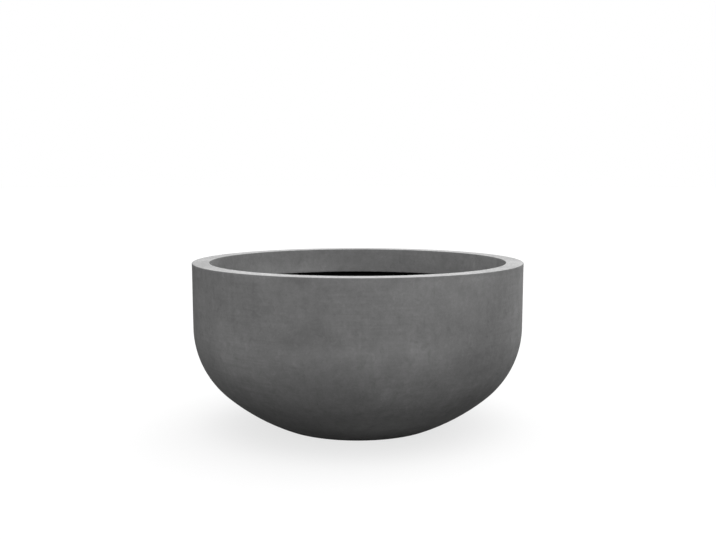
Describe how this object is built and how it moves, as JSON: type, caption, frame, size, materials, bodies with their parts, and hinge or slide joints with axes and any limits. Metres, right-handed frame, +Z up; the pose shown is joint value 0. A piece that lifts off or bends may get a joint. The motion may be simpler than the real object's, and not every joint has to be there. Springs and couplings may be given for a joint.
{
  "type": "bowl planter",
  "caption": "Round concrete-look bowl planter: upright band, curved belly, broad turned-in rim, dark liner, lift-out drain plug and foot pads.",
  "frame": {"origin": "on the ground, under the centre of the bowl", "axes": "+Z up, along the bowl's axis; the bowl is round, and its four foot pads lie at 45 degrees to X and Y"},
  "size_m": [0.6799, 0.68, 0.34],
  "materials": {
    "fibre_cement": "matte",
    "glass_fibre": "matte",
    "plug_rubber": "matte",
    "pad_rubber": "matte"
  },
  "bodies": {
    "bowl": {"bowl_shell": "fibre_cement", "inner_liner": "glass_fibre", "foot_pad_1": "pad_rubber", "foot_pad_2": "pad_rubber", "foot_pad_3": "pad_rubber", "foot_pad_4": "pad_rubber"},
    "plug": {"drain_plug": "plug_rubber"}
  },
  "joints": [
    {"name": "plug_lift", "type": "slide", "parent": "bowl", "child": "plug", "axis": [0, 0, 1], "range_m": [0, 0.4]}
  ]
}
